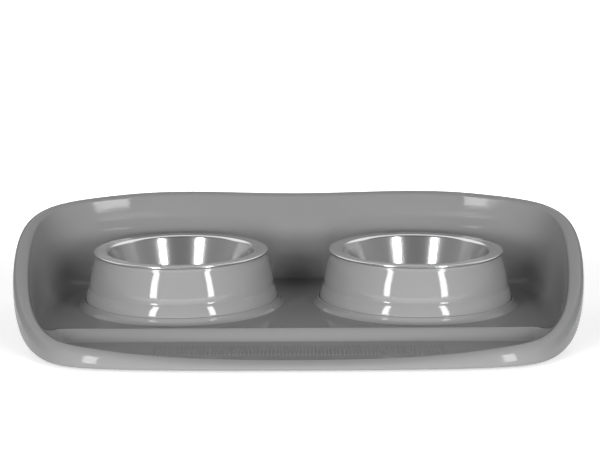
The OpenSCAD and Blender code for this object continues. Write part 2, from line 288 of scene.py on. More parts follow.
class Nodes:
    """Short forms for placing and joining shader nodes in one tree."""

    def __init__(self, tree: bpy.types.NodeTree) -> None:
        """Keeps the tree."""
        self.tree = tree

    def preset(self, node: bpy.types.Node, **values: object) -> None:
        """Sets attributes and plain input values of a node.

        Args:
            node: The node.
            **values: Attributes or inputs, with _ for a space in an input's name.
        """
        for key, value in values.items():
            if hasattr(node, key):
                setattr(node, key, value)
            else:
                node.inputs[key.replace("_", " ")].default_value = value

    def add(self, kind: str, **values: object) -> bpy.types.Node:
        """New node, with attributes and named input values set.

        Args:
            kind: Type of the node.
            **values: Attributes or inputs, as for preset.

        Returns:
            The node.
        """
        node = self.tree.nodes.new(kind)
        self.preset(node, **values)
        return node

    def link(self, source: Socket, target: Socket) -> None:
        """Joins two sockets."""
        self.tree.links.new(source, target)

    def maths(self, operation: str, *terms: Socket | float) -> Socket:
        """Result of a maths node whose terms are sockets or numbers.

        Args:
            operation: What the node works out.
            *terms: Its terms, in order.

        Returns:
            The result.
        """
        node = self.add("ShaderNodeMath", operation=operation)
        for i, term in enumerate(terms):
            if isinstance(term, (int, float)):
                node.inputs[i].default_value = term
            else:
                self.link(term, node.inputs[i])
        return node.outputs[0]

    def noise(self, where: Socket, scale: Socket | float, detail: float, roughness: float) -> Socket:
        """Grey level of a noise texture.

        Args:
            where: Coordinates that it is read at.
            scale: Its scale, a number or a socket.
            detail: Octaves of finer noise.
            roughness: Strength of the finer noise.

        Returns:
            The grey level.
        """
        node = self.add("ShaderNodeTexNoise", Detail=detail, Roughness=roughness)
        self.link(where, node.inputs["Vector"])
        if isinstance(scale, float):
            node.inputs["Scale"].default_value = scale
        else:
            self.link(scale, node.inputs["Scale"])
        return node.outputs["Fac"]

    def ramp(self, value: Socket, limits: Point2, ends: Point2 = (0.0, 1.0)) -> Socket:
        """Smooth step of a value between two limits, from the first end to the second.

        Args:
            value: The value.
            limits: Values at which the step begins and ends.
            ends: Results below and above them.

        Returns:
            The result.
        """
        node = self.add("ShaderNodeMapRange", interpolation_type="SMOOTHSTEP")
        for key, number in zip(("From Min", "From Max", "To Min", "To Max"), (*limits, *ends)):
            node.inputs[key].default_value = number
        self.link(value, node.inputs["Value"])
        return node.outputs[0]

    def tint(self, colour: Point3, level: Socket, target: Socket) -> None:
        """Feeds a colour times a level to a colour socket.

        Args:
            colour: The colour.
            level: The level.
            target: The colour socket.
        """
        node = self.add("ShaderNodeVectorMath", operation="SCALE")
        node.inputs[0].default_value = colour
        self.link(level, node.inputs["Scale"])
        self.link(node.outputs[0], target)

    def bump(self, height: Socket, strength: float, depth: float, target: Socket) -> None:
        """Feeds the normal of a height to a normal socket.

        Args:
            height: The height.
            strength: Strength of the effect.
            depth: Depth in metres of a height of 1.
            target: The normal socket.
        """
        node = self.add("ShaderNodeBump", Strength=strength, Distance=depth)
        self.link(height, node.inputs["Height"])
        self.link(node.outputs["Normal"], target)


def new_group(
    name: str, inputs: dict[str, float], outputs: Sequence[str]
) -> tuple[bpy.types.NodeTree, Nodes, bpy.types.Node, bpy.types.Node]:
    """Empty shader node group with named number sockets.

    Args:
        name: Name of the group.
        inputs: Inputs and their default values.
        outputs: Output names.

    Returns:
        The group, the helper for its nodes, its input node and its output node.
    """
    group = bpy.data.node_groups.new(name, "ShaderNodeTree")
    for key, value in inputs.items():
        socket = group.interface.new_socket(key, in_out="INPUT", socket_type="NodeSocketFloat")
        socket.default_value = value
    for key in outputs:
        group.interface.new_socket(key, in_out="OUTPUT", socket_type="NodeSocketFloat")
    n = Nodes(group)
    return group, n, n.add("NodeGroupInput"), n.add("NodeGroupOutput")


def moulded_skin_group() -> bpy.types.NodeTree:
    """Faint flow mottling, fine grain and dust of moulded plastic: Tone, Gloss loss and Height.

    Returns:
        The group.
    """
    inputs = {"Mottle scale": 9.0, "Grain scale": 900.0, "Dust": 0.2}
    group, n, given, out = new_group("moulded_skin", inputs, ("Tone", "Gloss loss", "Height"))
    middle = 0.5
    facing_up_power = 6.0
    speck_scale = 240.0
    speck_level = 0.66
    where = n.add("ShaderNodeTexCoord").outputs["Object"]
    mottle = n.noise(where, given.outputs["Mottle scale"], detail=3.0, roughness=0.55)
    grain = n.noise(where, given.outputs["Grain scale"], detail=2.0, roughness=0.5)
    split = n.add("ShaderNodeSeparateXYZ")
    n.link(n.add("ShaderNodeNewGeometry").outputs["Normal"], split.inputs[0])
    upward = n.maths("POWER", n.maths("MAXIMUM", split.outputs["Z"], 0.0), facing_up_power)
    speckle = n.noise(where, speck_scale, detail=4.0, roughness=0.7)
    specks = n.maths("GREATER_THAN", speckle, speck_level)
    dust = n.maths("MULTIPLY", n.maths("MULTIPLY", specks, upward), given.outputs["Dust"])
    n.link(n.maths("SUBTRACT", mottle, middle), out.inputs["Tone"])
    n.link(n.maths("ADD", n.maths("MULTIPLY", mottle, middle), dust), out.inputs["Gloss loss"])
    n.link(grain, out.inputs["Height"])
    return group


def edge_wear_group() -> bpy.types.NodeTree:
    """Mask of rubbed convex edges, broken up by noise: Mask.

    Returns:
        The group.
    """
    group, n, given, out = new_group("edge_wear", {"Reach": 1.5 * MM, "Break up scale": 60.0}, ("Mask",))
    edge_gain = 8.0
    plain = n.add("ShaderNodeNewGeometry")
    bevel = n.add("ShaderNodeBevel", samples=4)
    n.link(given.outputs["Reach"], bevel.inputs["Radius"])
    apart = n.add("ShaderNodeVectorMath", operation="DOT_PRODUCT")
    n.link(plain.outputs["Normal"], apart.inputs[0])
    n.link(bevel.outputs["Normal"], apart.inputs[1])
    edge = n.maths("SUBTRACT", 1.0, apart.outputs["Value"])
    where = n.add("ShaderNodeTexCoord").outputs["Object"]
    broken = n.noise(where, given.outputs["Break up scale"], detail=4.0, roughness=0.6)
    mask = n.maths("MULTIPLY", n.maths("MULTIPLY", edge, edge_gain), broken)
    n.link(n.maths("MINIMUM", mask, 1.0), out.inputs["Mask"])
    return group


def spun_lines_group() -> bpy.types.NodeTree:
    """Fine turning lines round a vertical axis: Line and Height.

    Returns:
        The group.
    """
    inputs = {"Centre X": 0.0, "Centre Y": 0.0, "Lines per metre": 2600.0, "Streak": 0.5}
    group, n, given, out = new_group("spun_lines", inputs, ("Line", "Height"))
    split = n.add("ShaderNodeSeparateXYZ")
    n.link(n.add("ShaderNodeTexCoord").outputs["Object"], split.inputs[0])
    across = n.maths("SUBTRACT", split.outputs["X"], given.outputs["Centre X"])
    along = n.maths("SUBTRACT", split.outputs["Y"], given.outputs["Centre Y"])
    radius = n.maths("SQRT", n.maths("ADD", n.maths("POWER", across, 2.0), n.maths("POWER", along, 2.0)))
    angle = n.maths("ARCTAN2", along, across)
    place = n.add("ShaderNodeCombineXYZ")
    n.link(n.maths("MULTIPLY", radius, given.outputs["Lines per metre"]), place.inputs["X"])
    n.link(n.maths("MULTIPLY", split.outputs["Z"], given.outputs["Lines per metre"]), place.inputs["Y"])
    n.link(n.maths("MULTIPLY", angle, given.outputs["Streak"]), place.inputs["Z"])
    lines = n.noise(place.outputs[0], 1.0, detail=2.0, roughness=0.6)
    for key in ("Line", "Height"):
        n.link(lines, out.inputs[key])
    return group


def shade(name: str) -> tuple[bpy.types.Material, Nodes, bpy.types.Node]:
    """New material with its node helper and its Principled node.

    Args:
        name: Name of the material.

    Returns:
        The material, the helper for its nodes and its Principled node.
    """
    material = bpy.data.materials.new(name)
    material.use_nodes = True
    n = Nodes(material.node_tree)
    principled = next(x for x in material.node_tree.nodes if x.type == "BSDF_PRINCIPLED")
    return material, n, principled


@dataclass(frozen=True)
class GlossPlastic:
    """Glossy mid-grey injection-moulded plastic."""

    name: str
    colour: Point3 = (0.228, 0.228, 0.230)
    roughness: float = 0.07
    specular: float = 0.5
    mottle: float = 0.035
    dust: float = 0.1
    gloss_loss: float = 0.1
    worn_tone: float = 0.12
    worn_roughness: float = 0.1
    grain_strength: float = 0.25
    grain_depth: float = 0.012 * MM

    def material(self, skin: bpy.types.NodeTree, wear: bpy.types.NodeTree) -> bpy.types.Material:
        """Builds the material.

        Args:
            skin: The moulded skin group.
            wear: The edge wear group.

        Returns:
            The material.
        """
        material, n, principled = shade(self.name)
        skin_node = n.add("ShaderNodeGroup", node_tree=skin, Dust=self.dust)
        wear_node = n.add("ShaderNodeGroup", node_tree=wear)
        tone = n.maths("ADD", 1.0, n.maths("MULTIPLY", skin_node.outputs["Tone"], self.mottle * 2))
        lighter = n.maths("ADD", tone, n.maths("MULTIPLY", wear_node.outputs["Mask"], self.worn_tone))
        n.tint(self.colour, lighter, principled.inputs["Base Color"])
        # The group's gloss loss is a quarter on average, which the start makes up for.
        start = self.roughness - self.gloss_loss / 4
        rough = n.maths("ADD", start, n.maths("MULTIPLY", skin_node.outputs["Gloss loss"], self.gloss_loss))
        worn = n.maths("MULTIPLY", wear_node.outputs["Mask"], self.worn_roughness)
        n.link(n.maths("ADD", rough, worn), principled.inputs["Roughness"])
        normal = principled.inputs["Normal"]
        n.bump(skin_node.outputs["Height"], self.grain_strength, self.grain_depth, normal)
        n.preset(principled, Specular_IOR_Level=self.specular)
        return material


@dataclass(frozen=True)
class SpunSteel:
    """Stainless steel, spun and satin finished."""

    name: str
    centre: Point2
    colour: Point3 = (0.6, 0.6, 0.605)
    roughness: float = 0.2
    anisotropy: float = 0.5
    turn_share: float = 0.25
    line_tone: float = 0.06
    line_roughness: float = 0.08
    line_strength: float = 0.12
    line_depth: float = 0.02 * MM

    def material(self, lines: bpy.types.NodeTree) -> bpy.types.Material:
        """Builds the material round the bowl's own axis.

        Args:
            lines: The spun lines group.

        Returns:
            The material.
        """
        material, n, principled = shade(self.name)
        x, y = self.centre
        spun = n.add("ShaderNodeGroup", node_tree=lines, Centre_X=x, Centre_Y=y)
        tone = n.maths("MULTIPLY", spun.outputs["Line"], self.line_tone)
        n.tint(self.colour, n.maths("ADD", 1.0 - self.line_tone / 2, tone), principled.inputs["Base Color"])
        lines_rough = n.maths("MULTIPLY", spun.outputs["Line"], self.line_roughness)
        rough = n.maths("ADD", self.roughness - self.line_roughness / 2, lines_rough)
        n.link(rough, principled.inputs["Roughness"])
        n.bump(spun.outputs["Height"], self.line_strength, self.line_depth, principled.inputs["Normal"])
        n.preset(principled, Metallic=1.0)
        n.preset(principled, Anisotropic=self.anisotropy, Anisotropic_Rotation=self.turn_share)
        tangent = n.add("ShaderNodeTangent", direction_type="RADIAL", axis="Z")
        n.link(tangent.outputs[0], principled.inputs["Tangent"])
        return material


@dataclass(frozen=True)
class SoftRubber:
    """Dark matt rubber."""

    name: str
    colour: Point3 = (0.03, 0.03, 0.031)
    roughness: float = 0.72
    dust: float = 0.6
    gloss_loss: float = 0.2
    grain_strength: float = 0.5
    grain_depth: float = 0.08 * MM

    def material(self, skin: bpy.types.NodeTree) -> bpy.types.Material:
        """Builds the material.

        Args:
            skin: The moulded skin group.

        Returns:
            The material.
        """
        material, n, principled = shade(self.name)
        skin_node = n.add("ShaderNodeGroup", node_tree=skin, Dust=self.dust)
        n.tint(self.colour, n.maths("ADD", 1.0, skin_node.outputs["Tone"]), principled.inputs["Base Color"])
        loss = n.maths("MULTIPLY", skin_node.outputs["Gloss loss"], self.gloss_loss)
        n.link(n.maths("ADD", self.roughness, loss), principled.inputs["Roughness"])
        normal = principled.inputs["Normal"]
        n.bump(skin_node.outputs["Height"], self.grain_strength, self.grain_depth, normal)
        return material


# Sub-assemblies

# Control outlines, right half from front to back, as shares of half the tray's width and depth.
# The rim's rows add the shares of the height that its top and its skirt's edge have climbed.
RIM_SHARES = (
    (0.000, -1.000, 0.000, 0.000),
    (0.265, -0.998, 0.008, 0.000),
    (0.496, -0.984, 0.046, 0.000),
    (0.702, -0.943, 0.112, 0.000),
    (0.805, -0.820, 0.124, 0.004),
    (0.894, -0.564, 0.215, 0.085),
    (0.945, -0.294, 0.345, 0.305),
    (0.977, -0.019, 0.522, 0.507),
    (0.992, 0.241, 0.725, 0.711),
    (0.982, 0.488, 0.880, 0.869),
    (0.908, 0.702, 0.953, 0.948),
    (0.755, 0.828, 0.985, 0.985),
    (0.575, 0.964, 1.004, 1.004),
    (0.348, 1.006, 0.999, 0.999),
    (0.000, 0.996, 0.962, 0.962),
)
FOOT_SHARES = (
    (0.000, -0.880),
    (0.268, -0.880),
    (0.482, -0.868),
    (0.616, -0.832),
    (0.728, -0.665),
    (0.778, -0.388),
    (0.805, -0.165),
    (0.821, 0.047),
    (0.830, 0.250),
    (0.819, 0.447),
    (0.765, 0.618),
    (0.659, 0.747),
    (0.513, 0.832),
    (0.305, 0.841),
    (0.000, 0.826),
)


def whole(rows: Sequence[Sequence[float]]) -> list[tuple[float, ...]]:
    """Closed control outline from its right half, mirrored about the middle line."""
    mirrored = [(-row[0], *row[1:]) for row in reversed(rows[1:-1])]
    return [tuple(row) for row in rows] + mirrored


@dataclass
class Rings:
    """Places and sizes that the rings, the bowls, the collars and the floor share."""

    x: float
    y: float
    land_h: float
    floor_h: float = 14.5 * MM
    collar_h: float = 6.3 * MM

    def centre(self, side: Side) -> Point3:
        """Axis of one ring, at table height."""
        return (side.value * self.x, self.y, 0.0)


@dataclass
class Tray:
    """The one-piece moulding: splash wall, floor, ridge, trough, rim, collars and webs."""

    width: float
    depth: float
    splash_h: float
    rings: Rings
    lip_h: float = 9.8 * MM
    wall_t: float = 2.8 * MM
    trough_h: float = 7.0 * MM
    skirt_gap: float = 2.7 * MM
    rim_w: float = 15.0 * MM
    rim_inner_w: float = 6.0 * MM
    rim_rise: float = 4.5 * MM
    skirt_drop: float = 8.0 * MM
    ridge_reach: float = 117.5 * MM
    ridge_h: float = 2.5 * MM
    ridge_back_w: float = 9.0 * MM
    ridge_front_w: float = 12.0 * MM
    rib_pitch: float = 3.4 * MM
    rib_w: float = 1.5 * MM
    rib_h: float = 0.6 * MM
    rib_len: float = 30.0 * MM
    rib_reach: float = 132.0 * MM
    rib_sunk: float = 0.2 * MM
    rib_steps: int = 6
    rib_end_shares: tuple[Point2, ...] = ((1.0, 0.05), (0.93, 0.75), (0.86, 1.0))
    collar_r: float = 95.5 * MM
    collar_foot_w: float = 5.8 * MM
    collar_lip_w: float = 1.6 * MM
    collar_sunk: float = 1.0 * MM
    collar_steps: int = 14
    well_r: float = 80.0 * MM
    well_depth: float = 4.0 * MM
    well_gap: float = 0.05 * MM
    well_round: float = 1.2 * MM
    well_under_round: float = 1.5 * MM
    well_steps: int = 128
    cut_rise: float = 20.0 * MM
    cut_drop: float = 10.0 * MM
    web_t: float = 1.8 * MM
    web_depth: float = 3.0 * MM
    web_bevel: float = 0.3 * MM
    web_inset: float = 16.0 * MM
    web_x_shares: tuple[float, ...] = (-0.78, -0.4, 0.0, 0.4, 0.78)
    web_y_shares: tuple[float, ...] = (-0.86, -0.1, 0.66)
    socket_t: float = 2.0 * MM
    socket_depth: float = 1.6 * MM
    socket_clear: float = 0.25 * MM
    socket_rounds: Point3 = (0.5 * MM, 0.3 * MM, 0.6 * MM)
    socket_steps: int = 96
    low_handle_share: float = 0.80
    high_handle_share: float = 0.62
    lean_share: float = 0.55
    rise_limit_share: float = 0.6
    floor_out: float = 5.0 * MM
    fade_w: float = 14.0 * MM
    front_corner: float = 4.0
    back_corner: float = 10.4
    back_reach: float = 2.0
    row_steps: tuple[int, ...] = (10, 22, 14, 44)
    columns: int = 40
    wall_steps: int = 22
    rim_steps: int = 9
    lip_steps: int = 6
    fit_steps: int = 1120
    turn_step: float = 0.001
    sharp_deg: float = 60.0
    rim_rows: list[tuple[float, ...]] = field(default_factory=lambda: whole(RIM_SHARES))
    foot_rows: list[tuple[float, ...]] = field(default_factory=lambda: whole(FOOT_SHARES))

    def __post_init__(self) -> None:
        """Works out the spans that scale the outlines to the tray's size."""
        count = len(self.rim_rows)
        samples = [spline(self.rim_rows, count * k / self.fit_steps) for k in range(self.fit_steps)]
        self.low = [min(p[c] for p in samples) for c in range(4)]
        self.high = [max(p[c] for p in samples) for c in range(4)]

    def rim_point(self, place: float) -> tuple[Vector, float, float]:
        """Skirt's edge in plan, height of the rim's top and height of the skirt's edge.

        Args:
            place: Place on the control outline.

        Returns:
            The point of the skirt's edge and the two heights.
        """
        p = spline(self.rim_rows, place)
        share = [(p[c] - self.low[c]) / (self.high[c] - self.low[c]) for c in range(4)]
        plan = Vector((p[0] / self.high[0] * self.width / 2, self.depth * (share[1] - 0.5)))
        top = mix(self.lip_h, self.splash_h, share[2])
        edge = mix(self.skirt_gap, self.splash_h - self.skirt_drop, share[3])
        return plan, top, edge

    def foot_point(self, place: float) -> Vector:
        """Foot of the splash wall in plan."""
        p = spline(self.foot_rows, place)
        return Vector((p[0] * self.width / 2, p[1] * self.depth / 2))

    def ground(self, y: float) -> float:
        """Height of the floor's top face at a distance back: floor, ridge or trough.

        Args:
            y: Distance back.

        Returns:
            The height.
        """
        crest = self.rings.y - self.ridge_reach
        floor = self.rings.floor_h
        if y >= crest:
            return floor + self.ridge_h * ease((crest + self.ridge_back_w - y) / self.ridge_back_w)
        return mix(floor + self.ridge_h, self.trough_h, ease((crest - y) / self.ridge_front_w))

    def side_rows(self) -> list[float]:
        """Distances back of the floor's rows, close together on the ridge.

        Returns:
            The distances, from front to back.
        """
        start = self.foot_point(self.front_corner).y
        end = self.foot_point(self.back_corner).y
        crest = self.rings.y - self.ridge_reach
        marks = (start, crest - self.ridge_front_w, crest, crest + self.ridge_back_w, end)
        rows = []
        for here, ahead, steps in zip(marks, marks[1:], self.row_steps):
            rows += [mix(here, ahead, k / steps) for k in range(steps)]
        return rows + [end]

    def place_at(self, y: float) -> float:
        """Place on the right side of the foot outline that lies at a distance back.

        Args:
            y: Distance back.

        Returns:
            The place.
        """
        low, high = self.front_corner, self.back_corner
        for _ in range(HALVINGS):
            middle = (low + high) / 2
            if self.foot_point(middle).y < y:
                low = middle
            else:
                high = middle
        return (low + high) / 2

    def section(self, place: float) -> tuple[list[Point3], list[Point3]]:
        """Top face and under side of wall and rim at one place of the outline.

        Args:
            place: Place on the control outlines.

        Returns:
            Points of the top face from the wall's foot outwards, and of the under side.
        """
        plan, top, edge = self.rim_point(place)
        along = self.rim_point(place + self.turn_step)[0] - self.rim_point(place - self.turn_step)[0]
        out = Vector((along.y, -along.x)).normalized()
        foot = self.foot_point(place)
        low = self.ground(foot.y)
        rise = min(self.rim_rise, (top - low) * self.rise_limit_share)
        end = plan - out * self.rim_w
        run = (end - foot).length
        outward = (end - foot).normalized()
        climb = top - rise - low
        lean = Vector((run * self.lean_share, climb)).normalized() * climb * self.high_handle_share
        shoulder = top - rise
        handles = (
            (0.0, low),
            (run * self.low_handle_share, low),
            (run - lean.x, shoulder - lean.y),
            (run, shoulder),
        )
        wall = []
        for i in range(self.wall_steps + 1):
            reach, height = bezier(handles, i / self.wall_steps)
            turn = reach * max(0.0, 1.0 - max(0.0, reach - self.floor_out) / self.fade_w) ** 2
            wall.append((reach, height + self.ground(foot.y + outward.y * turn) - low))
        rim = []
        outer_w = self.rim_w - self.rim_inner_w
        lip_r = self.wall_t / 2
        quarter = [math.pi / 2 * i / self.rim_steps for i in range(1, self.rim_steps + 1)]
        drop = top - edge - lip_r
        for a in quarter:
            rim.append((self.rim_inner_w * (1 - math.cos(a)), shoulder + rise * math.sin(a)))
        for a in quarter:
            rim.append((self.rim_inner_w + outer_w * math.sin(a), edge + lip_r + drop * math.cos(a)))
        rim_under = under_side(rim, self.wall_t)
        rim_under[-1] = (self.rim_w - self.wall_t, rim[-1][1])
        for i in range(1, self.lip_steps):
            a = math.pi * i / self.lip_steps
            rim.append((self.rim_w - lip_r * (1 - math.cos(a)), edge + lip_r * (1 - math.sin(a))))

        def put(start: Vector, way: Vector, curve: Sequence[Point2]) -> list[Point3]:
            """Places a section's points in the tray."""
            return [(start.x + way.x * s, start.y + way.y * s, z) for s, z in curve]

        face = put(foot, outward, wall) + put(end, out, rim)
        below = put(foot, outward, under_side(wall, self.wall_t)) + put(end, out, rim_under)
        return face, below

    def shell(self) -> bpy.types.Object:
        """Builds the shell: one grid for the floor, and the wall and rim all round it.

        Returns:
            The shell, with the holes for the wells.
        """
        rows = self.side_rows()
        half = [self.front_corner * k / self.columns for k in range(self.columns + 1)]
        last = len(self.rim_rows) / 2
        back_half = [mix(self.back_corner, last, k / self.columns) for k in range(self.columns + 1)]
        front = [-p for p in reversed(half[1:])] + half
        right = [self.place_at(y) for y in rows[1:-1]]
        back = back_half + [2 * last - p for p in reversed(back_half[:-1])]
        left = [-p for p in reversed(right)]
        places = front + right + back + left
        mesh = bmesh.new()
        tops, unders = [], []
        for place in places:
            face, below = self.section(place)
            tops.append([mesh.verts.new(p) for p in face])
            unders.append([mesh.verts.new(p) for p in below])
        count = len(places)
        for k in range(count):
            n = (k + 1) % count
            for ring, after in ((tops[k], tops[n]), (unders[n], unders[k])):
                for i in range(len(ring) - 1):
                    mesh.faces.new((ring[i], after[i], after[i + 1], ring[i + 1]))
            mesh.faces.new((tops[k][-1], tops[n][-1], unders[n][-1], unders[k][-1]))
        wide = len(front)
        deep = len(rows)

        def edge_vert(rings: list[list[bmesh.types.BMVert]], column: int, row: int) -> bmesh.types.BMVert:
            """Vertex of the wall's foot at the floor grid's border.

            Args:
                rings: Vertices of the sections.
                column: Column of the floor grid.
                row: Row of the floor grid.

            Returns:
                The vertex.
            """
            if row == 0:
                return rings[column][0]
            if row == deep - 1:
                return rings[wide + len(right) + (wide - 1 - column)][0]
            if column == wide - 1:
                return rings[wide + row - 1][0]
            return rings[count - row][0]

        for rings, drop in ((tops, 0.0), (unders, self.wall_t)):
            grid = [[None] * wide for _ in range(deep)]
            for j in range(deep):
                for i in range(wide):
                    if j in (0, deep - 1) or i in (0, wide - 1):
                        grid[j][i] = edge_vert(rings, i, j)
            for j in range(1, deep - 1):
                reach = grid[j][wide - 1].co.x
                for i in range(1, wide - 1):
                    near = grid[0][i].co.x / grid[0][wide - 1].co.x
                    far = grid[deep - 1][i].co.x / grid[deep - 1][wide - 1].co.x
                    x = reach * mix(near, far, j / (deep - 1))
                    grid[j][i] = mesh.verts.new((x, rows[j], self.ground(rows[j]) - drop))
            for j in range(deep - 1):
                for i in range(wide - 1):
                    quad = (grid[j][i], grid[j][i + 1], grid[j + 1][i + 1], grid[j + 1][i])
                    mesh.faces.new(quad if drop == 0.0 else tuple(reversed(quad)))
        piece = new_piece("tray_shell", mesh, self.sharp_deg)
        for side in Side:
            self.cut_well(piece, side)
        return piece

    def cut_well(self, piece: bpy.types.Object, side: Side) -> None:
        """Cuts the round hole for one well through the floor, and keeps the edges crisp.

        Args:
            piece: The shell.
            side: Side of the well.
        """
        top, bottom = self.rings.floor_h + self.cut_rise, -self.cut_drop
        outline = [(0.0, bottom), (self.well_r, bottom), (self.well_r, top), (0.0, top)]
        cutter = new_piece("well_cutter", turned(outline, self.rings.centre(side), self.well_steps))
        modifier = piece.modifiers.new("well", "BOOLEAN")
        modifier.operation = "DIFFERENCE"
        modifier.solver = "EXACT"
        modifier.object = cutter
        graph = bpy.context.evaluated_depsgraph_get()
        cut = bpy.data.meshes.new_from_object(piece.evaluated_get(graph))
        piece.modifiers.clear()
        piece.data = cut
        bpy.data.objects.remove(cutter)

    def well(self, side: Side) -> bpy.types.Object:
        """Builds the cup of one well, which closes the hole in the floor.

        Args:
            side: Side of the well.

        Returns:
            The cup.
        """
        inner, outer = self.well_r, self.well_r + self.wall_t
        top, floor = self.rings.floor_h - self.well_gap, self.rings.floor_h - self.well_depth
        corners = (
            (0.0, floor, 0.0),
            (inner, floor, self.well_round),
            (inner, top, 0.0),
            (outer, top, 0.0),
            (outer, floor - self.wall_t, self.well_under_round),
            (0.0, floor - self.wall_t, 0.0),
        )
        return new_piece(f"{side.name.lower()}_well", turned(rounded(corners), self.rings.centre(side)))

    def collar(self, side: Side) -> bpy.types.Object:
        """Builds one collar with its rounded lip.

        Args:
            side: Side of the collar.

        Returns:
            The collar.
        """
        steps = self.collar_steps
        lip = self.collar_lip_w / 2
        floor = self.rings.floor_h
        top = floor + self.rings.collar_h
        outline = [(self.collar_r, floor - self.collar_sunk), (self.collar_r, top - lip)]
        for i in range(1, steps):
            a = math.pi * (1 - i / steps)
            outline.append((self.collar_r + lip * (1 + math.cos(a)), top - lip * (1 - math.sin(a))))
        for i in range(steps + 1):
            t = i / steps
            width = mix(self.collar_lip_w, self.collar_foot_w, t**3)
            outline.append((self.collar_r + width, mix(top - lip, floor, t)))
        outline.append((self.collar_r + self.collar_foot_w, floor - self.collar_sunk))
        mesh = turned(outline, self.rings.centre(side), RING_SEGMENTS)
        return new_piece(f"{side.name.lower()}_collar", mesh)

    def ribs(self) -> bpy.types.Object:
        """Builds the fine ribs of the trough, each with a rounded back and sloping ends.

        Returns:
            The ribs, as one piece.
        """
        mesh = bmesh.new()
        count = math.floor(2 * self.rib_reach / self.rib_pitch)
        start = -(count - 1) * self.rib_pitch / 2
        foot_y = FOOT_SHARES[0][1] * self.depth / 2
        middle = (self.rings.y - self.ridge_reach - self.ridge_front_w + foot_y) / 2
        angles = [math.pi * k / self.rib_steps for k in range(self.rib_steps + 1)]
        section = [(math.cos(a) * self.rib_w / 2, math.sin(a) * (self.rib_h + self.rib_sunk)) for a in angles]
        stops = [(-along, high) for along, high in self.rib_end_shares] + list(reversed(self.rib_end_shares))
        for i in range(count):
            x = start + i * self.rib_pitch
            loops = []
            for along, high in stops:
                y = middle + along * self.rib_len / 2
                low = self.trough_h - self.rib_sunk
                loops.append([mesh.verts.new((x + side, y, low + rise * high)) for side, rise in section])
            for a, b in zip(loops, loops[1:]):
                for k in range(len(section)):
                    n = (k + 1) % len(section)
                    mesh.faces.new((a[k], a[n], b[n], b[k]))
            mesh.faces.new(loops[0])
            mesh.faces.new(tuple(reversed(loops[-1])))
        return new_piece("trough_ribs", mesh)

    def foot_reach(self, x: float) -> float:
        """Distance back at which the rear of the foot outline crosses a place left or right.

        Args:
            x: Place left or right.

        Returns:
            The distance back.
        """
        low, high = self.back_corner - self.back_reach, len(self.rim_rows) / 2
        for _ in range(HALVINGS):
            middle = (low + high) / 2
            if self.foot_point(middle).x > abs(x):
                low = middle
            else:
                high = middle
        return self.foot_point((low + high) / 2).y

    def webs(self) -> bpy.types.Object:
        """Builds the crossing webs under the raised part of the floor.

        Returns:
            The webs, as one piece.
        """
        mesh = bmesh.new()
        half_t = self.web_t / 2
        under = self.rings.floor_h - self.wall_t
        low, high = under - self.web_depth, under + self.wall_t / 2
        front = self.rings.y - self.ridge_reach + self.ridge_back_w
        for share in self.web_x_shares:
            x = share * (self.rings.x + self.collar_r)
            back = self.foot_reach(x) - self.web_inset
            add_box(mesh, (x - half_t, front, low), (x + half_t, back, high), self.web_bevel)
        for share in self.web_y_shares:
            y = self.rings.y + share * self.collar_r
            reach = self.foot_point(self.place_at(y)).x - self.web_inset
            add_box(mesh, (-reach, y - half_t, low), (reach, y + half_t, high), self.web_bevel)
        return new_piece("floor_webs", mesh)

    def socket(self, node: str) -> bpy.types.Object:
        """Builds the socket that holds one foot, from the foot's own place.

        Args:
            node: CAD node of the foot.

        Returns:
            The socket.
        """
        low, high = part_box(node)
        inner = (high.x - low.x) / 2 + self.socket_clear
        outer = inner + self.socket_t
        roof = high.z
        top = self.ground((low.y + high.y) / 2) - self.wall_t / 2
        roof_round, lip_round, side_round = self.socket_rounds
        corners = (
            (0.0, roof, 0.0),
            (inner, roof, roof_round),
            (inner, roof - self.socket_depth, lip_round),
            (outer, roof - self.socket_depth, side_round),
            (outer, top, 0.0),
            (0.0, top, 0.0),
        )
        centre = ((low.x + high.x) / 2, (low.y + high.y) / 2, 0.0)
        return new_piece(f"{node}_socket", turned(rounded(corners), centre, self.socket_steps))

    def build(self, material: bpy.types.Material) -> None:
        """Builds, dresses and seats every piece of the moulding.

        Args:
            material: The finish.
        """
        seat(self.shell(), Body.STAND, Slot.TRAY, material, "tray")
        seat(self.ribs(), Body.STAND, Slot.TRAY, material)
        seat(self.webs(), Body.STAND, Slot.TRAY, material)
        for node in FOOT_NODES:
            seat(self.socket(node), Body.STAND, Slot.TRAY, material)
        for side in Side:
            seat(self.collar(side), Body.STAND, Slot.TRAY, material)
            seat(self.well(side), Body.STAND, Slot.TRAY, material)


